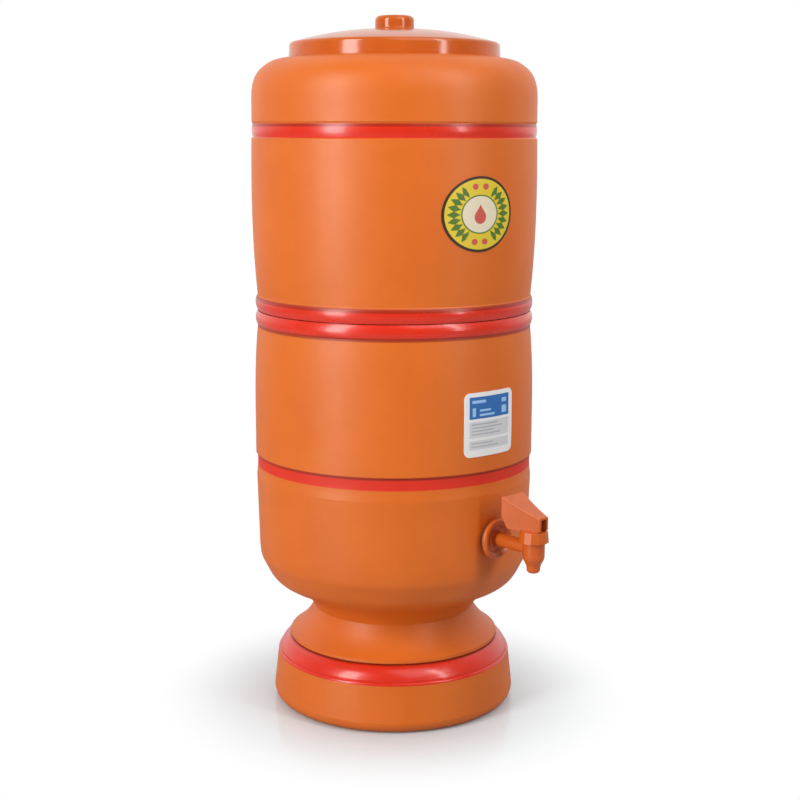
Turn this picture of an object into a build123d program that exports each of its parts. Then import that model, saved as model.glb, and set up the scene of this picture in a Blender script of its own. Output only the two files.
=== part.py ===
from build123d import *
from math import cos, radians, sin
import os

# Gravity water filter with tap: an upper clay vessel with a filter candle stands
# on a lower clay vessel that stores the filtered water and carries the tap.
# Millimetres, +Z up, origin on the vessels' axis at floor level, tap towards -Y.

os.makedirs("parts", exist_ok=True)

# ---------------------------------------------------------------- driving sizes

# Clearances
CLOSE_GAP = 0.3          # between fitted pieces that don't turn in each other
RUNNING_GAP = 0.06       # radial play of a shaft or pin that moves in its hole
REST_GAP = 0.05          # between moving faces that rest on each other
RIM_PLAY = 0.8           # spigot in the lower mouth, skirt in the upper mouth
HOLE_PLAY = 0.7          # round a threaded shank in its clay hole
BEVEL = 1.0              # small bevel on a moulded end
CUT_PAST = 5.0           # how far a cutting shape runs past the faces it opens

# Both vessels. A set-back is measured inwards from the fullest radius.
VESSEL_R = 111.5         # fullest radius, on the upper vessel
CLAY_T = 10.8            # from the fullest radius to the inner wall
BEAD_H = 12.6            # rim bead of each vessel
BEAD_SET = 1.9
BEAD_EDGE_SET = 3.6
BEAD_NECK_H = 1.4        # upright strip under the lower bead
BEAD_NECK_SET = 0.1
SEAM_GAP = 0.7           # the vessels touch only inside this slot
SEAM_GAP_D = 4.0

# Foot of the lower vessel
FOOT_R = 97.9            # widest radius, just above the floor
FOOT_ROLL_H = 9.0        # rounded bottom edge
FOOT_ROLL_W = 7.0
FOOT_H = 38.4            # top of the foot's plain wall
FOOT_TAPER = 3.3         # plain wall leans in by this much
FOOT_CLAY = 17.0         # clay ring that stands on the floor
FOOT_LIP_H = 1.9         # small rounded step on top of the wall
FOOT_LIP_W = 1.7
SHOULDER_NECK_H = 1.4    # upright strip between step and shoulder
SHOULDER_H = 12.9        # rounded shoulder, with the step and strip under it
SHOULDER_W = 10.0
GROOVE_H = 1.0           # groove between shoulder and pedestal
GROOVE_D = 3.0
PEDESTAL_LIP_H = 2.6     # upright edge under the pedestal's flare
PEDESTAL_SET = 0.2
PEDESTAL_H = 22.1        # flare, from its edge up to the neck
NECK_W = 19.8            # from the shoulder's top in to the neck
NECK_CLAY = 10.0
HOLLOW_DRAFT = 2.0       # hollow under the foot narrows by this up to the shoulder
HOLLOW_CORNER = 5.0

# Lower vessel
BOWL_H = 57.0            # from the neck up to the belly
BELLY_SET = 2.7
APRON_H = 53.0           # plain wall under the cove band, holds the tap
APRON_SET = 1.2
COVE_H = 17.7            # painted cove band
COVE_D = 0.9
LEDGE_H = 0.6            # ledge over the cove band
LOWER_WALL_H = 101.4     # plain wall between cove band and rim bead
LOWER_WALL_SET = 0.7
WAIST_SET = 3.4          # wall where it meets the rim bead
BOWL_FLOOR_RISE = 20.0   # inner floor of the lower vessel above the neck
BOWL_FLOOR_CLAY = 11.0
BOWL_CORNER = 34.0       # inner corner of the lower vessel

# Upper vessel
UPPER_FLOOR_RISE = 3.3   # inner floor above the seam
SPIGOT_H = 8.7           # spigot under the seam, inside the lower mouth
SPIGOT_BEVEL = 1.5
UPPER_CORNER = 12.0      # inner corner of the upper vessel
UPPER_WALL_H = 120.4     # plain wall between bead and painted band
BAND_H = 12.4            # painted band, with the lines cut above and below it
BAND_D = 1.1
BAND_LINE_H = 1.1
BAND_SET = 0.4           # wall where it meets the band
COLLAR_H = 12.0          # plain wall above the band
COLLAR_SET = 0.7
DOME_H = 36.5            # rounded top of the vessel
DOME_CLAY = 9.0
DOME_INSIDE_RISE = 6.0   # inner wall stays upright this far past the dome's foot
MOUTH_R = 75.0
LIP_W = 8.0              # flat ring that carries the lid

# Lid
LID_INSET = 1.3          # rim behind the edge of the flat ring
LID_EDGE_H = 9.0         # upright rim
LID_EDGE_DRAFT = 0.4
LID_BROW_W = 3.8         # rounded edge between rim and disc
LID_BROW_H = 2.9
LID_DOME_H = 12.7        # rise of the disc from the rim to the knob
LID_SKIN = 2.6
RIM_WEB = 2.0            # between the skirt's outside and the hollow in the rim
SKIRT_H = 11.0           # ring that centres the lid in the mouth
SKIRT_WALL = 2.2
SKIRT_LEAD_H = 2.0       # tapered end of the skirt
SKIRT_LEAD_W = 0.8
KNOB_R = 15.1
KNOB_H = 11.0
KNOB_FOOT = 1.7          # hollow curve at the knob's foot
KNOB_ROLL = 4.0
KNOB_CROWN = 0.7

# Filter candle
CANDLE_R = 26.0
CANDLE_H = 92.0
CANDLE_WALL = 6.0
CARBON_GAP = 2.0         # between the carbon and the candle's wall
CARBON_H = 52.0
BASE_H = 9.0
BASE_CUP_WALL = 2.5
BASE_CUP_H = 7.0
BASE_PLUG_H = 6.0
BASE_BEVEL = 3.0
STEM_R = 6.0             # threaded stem of the candle
STEM_BORE_R = 3.2
GASKET_T = 3.0
GASKET_R = 24.0
WASHER_T = 2.5
WASHER_R = 17.0
NUT_H = 12.0
NUT_R = 11.0
WING_SPAN = 24.0         # tip of a wing from the axis
WING_H = 14.0
WING_T = 4.0
WING_ROUND = 2.2

# Float valve under the candle
VALVE_GAP = 1.5          # between the wing nut and the valve
VALVE_R = 9.5
VALVE_H = 26.0
VALVE_NECK = 13.0        # length screwed over the stem
VALVE_BEVEL = 1.5
NOZZLE_R = 4.0
NOZZLE_H = 4.0
NOZZLE_BORE_R = 1.6
NOZZLE_FLOOR_T = 2.5     # plastic between the chamber and the nozzle
FLOAT_PIVOT_Y = -14.0
FLOAT_PIN_R = 1.5
PIN_PROUD = 0.2          # pin past each ear
EAR_T = 3.0
EAR_R = 4.5
EAR_H = 10.0             # ear's root on the housing
ARM_W = 6.0
ARM_T = 5.0
ARM_POINT = 5.0          # narrowed end of the arm
ARM_LENGTH = 78.0        # pivot to the middle of the bulb
PAD_OVER = 0.2           # pad past the nozzle's edge
PAD_CUP_WALL = 1.4
PAD_CUP_D = 1.0
PAD_T = 2.5
BULB_R = 19.0
BULB_H = 26.0
BULB_ROLL = 7.0
FLOAT_DROP = 30.0        # degrees the arm hangs below its closed place

# Tap
TAP_RISE = 17.9          # pipe's axis above the belly
SHANK_R = 6.6
FLANGE_R = 15.7
FLANGE_ROLL = 2.6        # radius of the flange's rounded rim
FLANGE_RIM_W = 0.9       # flat behind the rim, inside the roll
DISH_T = 1.5             # flange's thickness inside its rim
DISH_RISE = 0.7          # dish is this much thicker at its edge
PIPE_R = 5.2
PIPE_BORE_R = 3.4
PIPE_FOOT_W = 2.2        # hollow curve where the pipe leaves the dish
PIPE_FOOT_H = 1.7
TAP_GASKET_T = 1.8
TAP_GASKET_INSET = 2.4
INNER_GASKET_T = 2.2
INNER_GASKET_R = 12.5
TAP_NUT_R = 13.4
TAP_NUT_T = 8.0
TAP_NUT_BEVEL = 0.8
SHANK_OVER = 4.0         # shank past its nut
TAP_OUT = 39.29          # barrel's axis from the flange's back
SPOUT_DROP = 18.4        # spout's tip below the pipe's axis
SPOUT_TIP_R = 5.1
SPOUT_LIP_W = 1.7
SPOUT_LIP_H = 3.0
SPOUT_H = 6.2            # narrow end of the spout
SPOUT_DRAFT = 0.6
SPOUT_SHOULDER_H = 3.0   # rounded step up to the barrel
BARREL_DRAFT = 1.0       # barrel narrows by this towards the spout
SPOUT_BORE_R = 2.7
SEAT_STEP = 0.8          # valve seat below the pipe's bore
SEAT_RING_W = 1.0
SEAT_GUTTER_W = 0.6
PLUNGER_R = 5.3
PLUNGER_T = 1.6
PLUNGER_PLAY = 0.6       # disc in the barrel's bore
BARREL_WALL = 2.35
BARREL_STEP = 0.4        # thread under the cap
CAP_RISE = 13.95         # cap's top above the pipe's axis
CAP_H = 8.5
CAP_OVER = 3.05          # cap's corners past the barrel
CAP_TAPER = 0.8
CAP_ROUND = 0.8
CAP_ROOF = 2.1
CAP_SIDE_COUNT = 12
TAP_STEM_R = 2.5
GUIDE_WALL = 1.4         # guide boss inside the cap
GUIDE_H = 2.4
SEAL_R = 4.7
SEAL_T = 2.4
SEAL_POST_R = 1.6
SEAL_LIP = 0.6           # seal past the end of its post
SPRING_INSET = 0.55      # coil's radius inside the disc's
SPRING_WIRE_R = 0.45
SPRING_TURNS = 4.5

# Lever
PIN_RISE = 4.2           # pin above the cap's top
PIN_R = 1.2
EYE_WALL = 1.9
SLOT_PLAY = 0.35         # stem in the lever's slot
CHEEK_T = 1.85
LEVER_FLARE_W = 7.1      # each side of the back edge past the front edge
LEVER_HOLLOW_W = 0.3     # each side is hollow by this much at its middle
LEVER_BACK = 22.0
LEVER_FRONT_H = 7.0      # front edge above the pin
LEVER_BACK_H = 20.0
LEVER_MID_H = 12.7
LEVER_CUT_W = 4.6        # lower back corner, cut off for the finger
LEVER_CUT_H = 8.8
LEVER_SKIN = 1.8
PIN_BOSS_WALL = 1.7      # boss round the pin inside each cheek
PIN_BOSS_H = 2.9
PIN_END_H = 2.2          # pin in each boss
LEVER_ROUND = 0.8
OPEN_ANGLE = 40.0        # degrees the lever is pulled forward
CAM_RATE = 5.6           # mm of lift per radian of the lever

# Labels
LABEL_T = 0.35
LABEL_GAP = 0.1
CREST_W = 63.1
CREST_H = 54.7
CREST_RISE = 79.4        # middle above the seam
CREST_TURN = -9.9        # degrees round the vessel from the tap
INFO_W = 49.4
INFO_H = 48.7
INFO_CORNER = 5.0
INFO_RISE = 37.6         # middle above the cove band
INFO_TURN = -3.1

# ---------------------------------------------------------------- derived places

# Radii
INNER_R = VESSEL_R - CLAY_T
BEAD_R = VESSEL_R - BEAD_SET
BEAD_EDGE_R = VESSEL_R - BEAD_EDGE_SET
BELLY_R = VESSEL_R - BELLY_SET
APRON_R = VESSEL_R - APRON_SET
LOWER_WALL_R = VESSEL_R - LOWER_WALL_SET
WAIST_R = VESSEL_R - WAIST_SET
COLLAR_R = VESSEL_R - COLLAR_SET
LIP_R = MOUTH_R + LIP_W
LID_R = LIP_R - LID_INSET
FOOT_TOP_R = FOOT_R - FOOT_TAPER
SHOULDER_R = FOOT_TOP_R - SHOULDER_W
NECK_R = SHOULDER_R - NECK_W

# Heights
SHOULDER_Z = FOOT_H + SHOULDER_H
GROOVE_TOP_Z = SHOULDER_Z + GROOVE_H
FLARE_Z = GROOVE_TOP_Z + PEDESTAL_LIP_H
NECK_Z = FLARE_Z + PEDESTAL_H
BELLY_Z = NECK_Z + BOWL_H
COVE_Z = BELLY_Z + APRON_H
COVE_TOP_Z = COVE_Z + COVE_H
WAIST_Z = COVE_TOP_Z + LOWER_WALL_H
SEAM_Z = WAIST_Z + BEAD_H
BOWL_FLOOR_Z = NECK_Z + BOWL_FLOOR_RISE
UPPER_BEAD_Z = SEAM_Z + BEAD_H
BAND_Z = UPPER_BEAD_Z + UPPER_WALL_H
BAND_TOP_Z = BAND_Z + BAND_H
DOME_Z = BAND_TOP_Z + COLLAR_H
MOUTH_Z = DOME_Z + DOME_H
UPPER_FLOOR_Z = SEAM_Z + UPPER_FLOOR_RISE
UPPER_UNDER_Z = SEAM_Z - SPIGOT_H

# Tap, as distances from the vessels' axis and heights
TAP_Z = BELLY_Z + TAP_RISE
TAP_WALL_R = BELLY_R + (APRON_R - BELLY_R) * TAP_RISE / APRON_H
FLANGE_U = TAP_WALL_R + TAP_GASKET_T
BARREL_REACH = FLANGE_U + TAP_OUT
INNER_GASKET_U = INNER_R - INNER_GASKET_T
TAP_NUT_U = INNER_GASKET_U - TAP_NUT_T
SHANK_END = TAP_NUT_U - SHANK_OVER
BARREL_BORE_R = PLUNGER_R + PLUNGER_PLAY
BARREL_R = BARREL_BORE_R + BARREL_WALL
CAP_TOP_Z = TAP_Z + CAP_RISE
CAP_Z = CAP_TOP_Z - CAP_H
CAP_ROOF_Z = CAP_TOP_Z - CAP_ROOF
SEAT_Z = TAP_Z - PIPE_BORE_R - SEAT_STEP
PLUNGER_Z = SEAT_Z + REST_GAP + SEAL_T
PIN_Z = CAP_TOP_Z + PIN_RISE
SLOT_HALF_W = TAP_STEM_R + SLOT_PLAY
LEVER_HALF_W = SLOT_HALF_W + CHEEK_T
LEVER_BACK_HALF_W = LEVER_HALF_W + LEVER_FLARE_W

# The tap's side view: first number is the distance from the vessels' axis
# towards the tap, second is the height.
TAP_SIDE = Plane(origin=(0, 0, 0), x_dir=(0, -1, 0), z_dir=(-1, 0, 0))
PIPE_AXIS = Axis((0, 0, TAP_Z), (0, -1, 0))
BARREL_AXIS = Axis((0, -BARREL_REACH, 0), (0, 0, 1))


def across(reach):
    """Plane square to the tap's pipe, facing away from the vessel."""
    return Plane(origin=(0, -reach, TAP_Z), x_dir=(1, 0, 0), z_dir=(0, -1, 0))


def between(start, end, *shares):
    """Points of a curve, given as shares of its reach and its rise."""
    reach = end[0] - start[0]
    rise = end[1] - start[1]
    return [(start[0] + a * reach, start[1] + b * rise) for a, b in shares]


def lower_wall(shift):
    """Plain wall of the lower vessel above its cove band, moved out by shift."""
    foot = (LOWER_WALL_R + shift, COVE_TOP_Z + LEDGE_H)
    full = (LOWER_WALL_R + shift, COVE_TOP_Z + LOWER_WALL_H / 4)
    top = (WAIST_R + shift, WAIST_Z)
    knee = between(full, top, (0.3, 0.667))[0]
    return foot, top, Spline(foot, full, knee, top)


def upper_wall(shift):
    """Plain wall of the upper vessel under its painted band, moved out by shift."""
    foot = (BEAD_EDGE_R + shift, UPPER_BEAD_Z)
    full = (VESSEL_R + shift, UPPER_BEAD_Z + UPPER_WALL_H * 0.65)
    knee = between(foot, full, (0.62, 0.385))[0]
    top = (VESSEL_R - BAND_SET + shift, BAND_Z)
    return foot, top, Spline(foot, knee, full, top)


# ---------------------------------------------------------------- clay vessels

# Stand of the lower vessel: foot ring, shoulder and flared pedestal, hollow below.
with BuildPart() as lower_foot:
    with BuildSketch(Plane.XZ):
        with BuildLine():
            foot_in = (FOOT_R - FOOT_CLAY, 0)
            roll_start = (FOOT_R - FOOT_ROLL_W, 0)
            roll_end = (FOOT_R, FOOT_ROLL_H)
            foot_top = (FOOT_TOP_R, FOOT_H)
            Line(foot_in, roll_start)
            ThreePointArc(roll_start, between(roll_start, roll_end, (0.69, 0.33))[0], roll_end)
            Line(roll_end, foot_top)
            lip_top = (FOOT_TOP_R - FOOT_LIP_W, FOOT_H + FOOT_LIP_H)
            shoulder_low = (lip_top[0], lip_top[1] + SHOULDER_NECK_H)
            shoulder_end = (SHOULDER_R, SHOULDER_Z)
            ThreePointArc(foot_top, between(foot_top, lip_top, (0.25, 0.7))[0], lip_top)
            Line(lip_top, shoulder_low)
            ThreePointArc(shoulder_low, between(shoulder_low, shoulder_end, (0.42, 0.57))[0], shoulder_end)
            groove = (SHOULDER_R - GROOVE_D, (SHOULDER_Z + GROOVE_TOP_Z) / 2)
            pedestal = (SHOULDER_R - PEDESTAL_SET, GROOVE_TOP_Z)
            flare = (SHOULDER_R - 2 * PEDESTAL_SET, FLARE_Z)
            Polyline(shoulder_end, groove, pedestal, flare)
            neck = (NECK_R, NECK_Z)
            neck_in = (NECK_R - NECK_CLAY, NECK_Z)
            hollow_in = (foot_in[0] - HOLLOW_DRAFT, FOOT_H)
            ThreePointArc(flare, between(flare, neck, (0.64, 0.49))[0], neck)
            Line(neck, neck_in)
            ThreePointArc(neck_in, between(neck_in, hollow_in, (0.48, 0.53))[0], hollow_in)
            Line(hollow_in, foot_in)
        make_face()
    revolve(axis=Axis.Z)
lower_foot.part.label = "lower_foot"
export_step(lower_foot.part, "parts/lower_foot.step")

# Lower vessel: bowl luted on the stand's neck, apron, cove band, wall and rim bead.
with BuildPart() as lower_chamber:
    with BuildSketch(Plane.XZ):
        with BuildLine():
            neck = (NECK_R, NECK_Z)
            belly = (BELLY_R, BELLY_Z)
            bowl = between(neck, belly, (0.135, 0.15), (0.465, 0.325), (0.745, 0.456), (0.92, 0.684))
            Spline(neck, *bowl, belly, tangents=((0.5, 1.0), (APRON_R - BELLY_R, APRON_H)))
            cove = (APRON_R, COVE_Z)
            cove_top = (APRON_R - COVE_D * 0.7, COVE_TOP_Z)
            Line(belly, cove)
            ThreePointArc(cove, (APRON_R - COVE_D, COVE_Z + COVE_H * 0.45), cove_top)
            ledge, waist, _ = lower_wall(0)
            Line(cove_top, ledge)
            bead = (WAIST_R - BEAD_NECK_SET, WAIST_Z + BEAD_NECK_H)
            bead_top = (BEAD_EDGE_R, SEAM_Z)
            Line(waist, bead)
            ThreePointArc(bead, (BEAD_R, WAIST_Z + BEAD_H * 0.58), bead_top)
            corner = (INNER_R, BOWL_FLOOR_Z + BOWL_CORNER)
            floor_edge = (INNER_R - BOWL_CORNER, BOWL_FLOOR_Z)
            Polyline(bead_top, (INNER_R, SEAM_Z), corner)
            RadiusArc(corner, floor_edge, BOWL_CORNER)
            under_z = BOWL_FLOOR_Z - BOWL_FLOOR_CLAY
            neck_in = (NECK_R - NECK_CLAY, NECK_Z)
            Polyline(floor_edge, (0, BOWL_FLOOR_Z), (0, under_z), (neck_in[0] - HOLLOW_CORNER, under_z),
                     neck_in, neck)
        make_face()
    revolve(axis=Axis.Z)
    with BuildSketch(across(INNER_R - CUT_PAST)):
        Circle(SHANK_R + HOLE_PLAY)
    extrude(amount=BELLY_R - INNER_R + 2 * CUT_PAST, mode=Mode.SUBTRACT)
lower_chamber.part.label = "lower_chamber"
export_step(lower_chamber.part, "parts/lower_chamber.step")


# Upper vessel: floor with spigot and stem hole, wall, dome and mouth.
with BuildPart() as upper_chamber:
    with BuildSketch(Plane.XZ):
        with BuildLine():
            hole_r = STEM_R + BEVEL
            spigot_r = INNER_R - RIM_PLAY
            seat_r = BEAD_EDGE_R - SEAM_GAP_D
            bead = (BEAD_EDGE_R, SEAM_Z + SEAM_GAP)
            Polyline((hole_r, UPPER_FLOOR_Z), (hole_r, UPPER_UNDER_Z),
                     (spigot_r - SPIGOT_BEVEL, UPPER_UNDER_Z), (spigot_r, UPPER_UNDER_Z + SPIGOT_BEVEL),
                     (spigot_r, SEAM_Z), (seat_r, SEAM_Z), (seat_r, bead[1]), bead)
            wall_foot, wall_top, _ = upper_wall(0)
            ThreePointArc(bead, (BEAD_R, SEAM_Z + BEAD_H * 0.48), wall_foot)
            line_low = (wall_top[0] - BAND_D, BAND_Z + BAND_LINE_H)
            line_high = (wall_top[0] - BAND_D, BAND_TOP_Z - BAND_LINE_H)
            collar = (COLLAR_R, BAND_TOP_Z)
            Line(wall_top, line_low)
            ThreePointArc(line_low, (wall_top[0] - BAND_D * 0.27, BAND_Z + BAND_H / 2), line_high)
            Line(line_high, collar)
            dome = (COLLAR_R, DOME_Z)
            lip = (LIP_R, MOUTH_Z)
            Line(collar, dome)
            bend = between(dome, lip, (0.07, 0.53), (0.2, 0.715), (0.42, 0.862))
            Spline(dome, *bend, lip, tangents=((0, 1), (-1, 0.14)))
            mouth_in = (MOUTH_R, MOUTH_Z - DOME_CLAY)
            inner_dome = (INNER_R, DOME_Z + DOME_INSIDE_RISE)
            Polyline(lip, (MOUTH_R, MOUTH_Z), mouth_in)
            bend_in = between(mouth_in, inner_dome, (0.5, 0.1), (0.88, 0.4))
            Spline(mouth_in, *bend_in, inner_dome, tangents=((1, -0.1), (0, -1)))
            inner_foot = (INNER_R, UPPER_FLOOR_Z + UPPER_CORNER)
            floor_edge = (INNER_R - UPPER_CORNER, UPPER_FLOOR_Z)
            Line(inner_dome, inner_foot)
            RadiusArc(inner_foot, floor_edge, UPPER_CORNER)
            Line(floor_edge, (hole_r, UPPER_FLOOR_Z))
        make_face()
    revolve(axis=Axis.Z)
upper_chamber.part.label = "upper_chamber"
export_step(upper_chamber.part, "parts/upper_chamber.step")

# ---------------------------------------------------------------- lid

# One hollow moulding: disc, rim, centring skirt and knob.
with BuildPart() as lid:
    rim_z = MOUTH_Z + LID_EDGE_H
    knob_z = rim_z + LID_DOME_H
    top_z = knob_z + KNOB_H
    skirt_r = MOUTH_R - RIM_PLAY
    with BuildSketch(Plane.XZ):
        with BuildLine():
            rim = (LID_R - LID_EDGE_DRAFT, rim_z)
            brow = (LID_R - LID_BROW_W, rim_z + LID_BROW_H)
            knob_foot = (KNOB_R + KNOB_FOOT, knob_z)
            Polyline((skirt_r, MOUTH_Z), (LID_R, MOUTH_Z), rim)
            ThreePointArc(rim, between(rim, brow, (0.27, 0.68))[0], brow)
            Spline(brow, between(brow, knob_foot, (0.43, 0.63))[0], knob_foot)
            knob_side = (KNOB_R, knob_z + KNOB_FOOT)
            knob_brow = (KNOB_R, top_z - KNOB_ROLL - KNOB_CROWN)
            knob_edge = (KNOB_R - KNOB_ROLL, top_z - KNOB_CROWN)
            ThreePointArc(knob_foot, between(knob_foot, knob_side, (0.75, 0.3))[0], knob_side)
            Line(knob_side, knob_brow)
            ThreePointArc(knob_brow, between(knob_brow, knob_edge, (0.3, 0.74))[0], knob_edge)
            Spline(knob_edge, (0, top_z), tangents=((-1, 0.12), (-1, 0)))
            bore_r = KNOB_R - LID_SKIN
            Polyline((0, top_z), (0, top_z - LID_SKIN), (bore_r, top_z - LID_SKIN - KNOB_CROWN),
                     (bore_r, knob_z - LID_SKIN))
            skirt_top = (skirt_r - SKIRT_WALL, brow[1] - LID_SKIN)
            under = between((bore_r, knob_z - LID_SKIN), skirt_top, (0.57, 0.38))[0]
            Spline((bore_r, knob_z - LID_SKIN), under, skirt_top)
            skirt_low_z = MOUTH_Z - SKIRT_H
            Polyline(skirt_top, (skirt_r - SKIRT_WALL, skirt_low_z), (skirt_r - SKIRT_LEAD_W, skirt_low_z),
                     (skirt_r, skirt_low_z + SKIRT_LEAD_H), (skirt_r, MOUTH_Z))
        make_face()
        with BuildLine():
            Polyline((skirt_r + RIM_WEB, MOUTH_Z), (LID_R - LID_SKIN, MOUTH_Z),
                     (rim[0] - LID_SKIN, rim_z - LID_BROW_H), (skirt_r + RIM_WEB, rim_z - LID_BROW_H),
                     close=True)
        make_face(mode=Mode.SUBTRACT)
    revolve(axis=Axis.Z)
lid.part.label = "lid"
export_step(lid.part, "parts/lid.step")

# ---------------------------------------------------------------- filter candle

gasket_top_z = UPPER_FLOOR_Z + GASKET_T
base_top_z = gasket_top_z + BASE_H
stem_end_z = UPPER_UNDER_Z - WASHER_T - NUT_H - VALVE_GAP - VALVE_NECK
cup_r = CANDLE_R + CLOSE_GAP + BASE_CUP_WALL

# Ceramic dome of the candle.
with BuildPart() as candle_shell:
    with BuildSketch(Plane.XZ):
        with BuildLine():
            low = base_top_z + CLOSE_GAP
            spring_line = low + CANDLE_H - CANDLE_R
            inner = CANDLE_R - CANDLE_WALL
            Line((CANDLE_R, low), (CANDLE_R, spring_line))
            RadiusArc((CANDLE_R, spring_line), (0, low + CANDLE_H), -CANDLE_R)
            Line((0, low + CANDLE_H), (0, low + CANDLE_H - CANDLE_WALL))
            RadiusArc((0, low + CANDLE_H - CANDLE_WALL), (inner, spring_line), inner)
            Polyline((inner, spring_line), (inner, low), (CANDLE_R, low))
        make_face()
    revolve(axis=Axis.Z)
candle_shell.part.label = "candle_shell"
export_step(candle_shell.part, "parts/candle_shell.step")

# Plastic base: cup round the dome, plug inside it and hollow threaded stem.
with BuildPart() as candle_base:
    with BuildSketch(Plane.XZ):
        plug_r = CANDLE_R - CANDLE_WALL - CLOSE_GAP
        with BuildLine():
            Polyline((STEM_BORE_R, stem_end_z), (STEM_R - BEVEL, stem_end_z),
                     (STEM_R, stem_end_z + BEVEL), (STEM_R, gasket_top_z),
                     (cup_r - BASE_BEVEL, gasket_top_z), (cup_r, gasket_top_z + BASE_BEVEL),
                     (cup_r, base_top_z + BASE_CUP_H), (cup_r - BASE_CUP_WALL, base_top_z + BASE_CUP_H),
                     (cup_r - BASE_CUP_WALL, base_top_z), (plug_r, base_top_z),
                     (plug_r, base_top_z + BASE_PLUG_H), (STEM_BORE_R, base_top_z + BASE_PLUG_H),
                     close=True)
        make_face()
    revolve(axis=Axis.Z)
candle_base.part.label = "candle_base"
export_step(candle_base.part, "parts/candle_base.step")

# Carbon fill inside the dome.
carbon_r = CANDLE_R - CANDLE_WALL - CARBON_GAP
with BuildPart() as candle_carbon:
    with BuildSketch(Plane.XY.offset(base_top_z + BASE_PLUG_H + CLOSE_GAP)):
        Circle(carbon_r)
    extrude(amount=CARBON_H)
    fillet(candle_carbon.edges().group_by(Axis.Z)[-1], radius=carbon_r / 3)
candle_carbon.part.label = "candle_carbon"
export_step(candle_carbon.part, "parts/candle_carbon.step")

# Rubber gasket between candle and clay floor.
with BuildPart() as candle_gasket:
    with BuildSketch(Plane.XY.offset(UPPER_FLOOR_Z)):
        Circle(GASKET_R)
        Circle(STEM_R + CLOSE_GAP, mode=Mode.SUBTRACT)
    extrude(amount=GASKET_T)
candle_gasket.part.label = "candle_gasket"
export_step(candle_gasket.part, "parts/candle_gasket.step")

# Washer under the clay floor.
with BuildPart() as candle_washer:
    with BuildSketch(Plane.XY.offset(UPPER_UNDER_Z - WASHER_T)):
        Circle(WASHER_R)
        Circle(STEM_R + CLOSE_GAP, mode=Mode.SUBTRACT)
    extrude(amount=WASHER_T)
candle_washer.part.label = "candle_washer"
export_step(candle_washer.part, "parts/candle_washer.step")

# Wing nut that pulls the candle down onto its gasket.
with BuildPart() as candle_nut:
    nut_top_z = UPPER_UNDER_Z - WASHER_T
    with BuildSketch(Plane.XY.offset(nut_top_z - NUT_H)):
        Circle(NUT_R)
    extrude(amount=NUT_H, taper=-4)
    with BuildSketch(Plane.XZ):
        with BuildLine():
            wing_low = nut_top_z - WING_H
            nut_low = nut_top_z - NUT_H
            outline = between((0, nut_top_z), (WING_SPAN, wing_low), (0, 0.15), (0.46, 0.22), (1, 0.5),
                              (0.94, 1), (0.58, 1))
            Polyline(*outline, (NUT_R * 0.82, nut_low), (0, nut_low), close=True)
        wing = make_face()
        fillet(wing.vertices().sort_by(Axis.X)[-3:], radius=WING_ROUND)
        mirror(about=Plane.YZ)
    extrude(amount=WING_T / 2, both=True)
    with BuildSketch(Plane.XY.offset(nut_top_z)):
        Circle(STEM_R + CLOSE_GAP)
    extrude(amount=-WING_H, mode=Mode.SUBTRACT)
candle_nut.part.label = "candle_nut"
export_step(candle_nut.part, "parts/candle_nut.step")

# ---------------------------------------------------------------- float valve

valve_top_z = stem_end_z + VALVE_NECK
valve_low_z = valve_top_z - VALVE_H
nozzle_z = valve_low_z - NOZZLE_H
pivot_z = nozzle_z - REST_GAP - PAD_T - ARM_T / 2

# Housing screwed on the stem, with nozzle and two ears for the arm.
with BuildPart() as float_valve_body:
    with BuildSketch(Plane.XZ):
        with BuildLine():
            Polyline((NOZZLE_BORE_R, nozzle_z), (NOZZLE_R - BEVEL, nozzle_z), (NOZZLE_R, nozzle_z + BEVEL),
                     (NOZZLE_R, valve_low_z), (VALVE_R - VALVE_BEVEL, valve_low_z),
                     (VALVE_R, valve_low_z + VALVE_BEVEL),
                     (VALVE_R, valve_top_z), (STEM_R + CLOSE_GAP, valve_top_z),
                     (STEM_R + CLOSE_GAP, stem_end_z - CLOSE_GAP), (STEM_BORE_R, stem_end_z - CLOSE_GAP),
                     (STEM_BORE_R, valve_low_z + NOZZLE_FLOOR_T),
                     (NOZZLE_BORE_R, valve_low_z + NOZZLE_FLOOR_T), close=True)
        make_face()
    revolve(axis=Axis.Z)
    ear_x = ARM_W / 2 + CLOSE_GAP
    with BuildSketch(Plane.YZ.offset(ear_x)):
        with Locations((FLOAT_PIVOT_Y, pivot_z)):
            Circle(EAR_R)
        with BuildLine():
            root_y = -VALVE_R * 0.45
            Polyline((FLOAT_PIVOT_Y - EAR_R, pivot_z), (FLOAT_PIVOT_Y + EAR_R, pivot_z),
                     (root_y, valve_low_z + BEVEL), (root_y, valve_low_z + EAR_H),
                     (-VALVE_R, valve_low_z + EAR_H), (FLOAT_PIVOT_Y - EAR_R, valve_low_z), close=True)
        make_face()
        with Locations((FLOAT_PIVOT_Y, pivot_z)):
            Circle(FLOAT_PIN_R + CLOSE_GAP / 2, mode=Mode.SUBTRACT)
    extrude(amount=EAR_T)
    mirror(about=Plane.YZ)
float_valve_body.part.label = "float_valve_body"
export_step(float_valve_body.part, "parts/float_valve_body.step")

# Pin through the ears.
pin_half = ear_x + EAR_T + PIN_PROUD
with BuildPart() as float_pin:
    with BuildSketch(Plane.YZ.offset(-pin_half)):
        with Locations((FLOAT_PIVOT_Y, pivot_z)):
            Circle(FLOAT_PIN_R)
    extrude(amount=2 * pin_half)
float_pin.part.label = "float_pin"
export_step(float_pin.part, "parts/float_pin.step")

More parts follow.
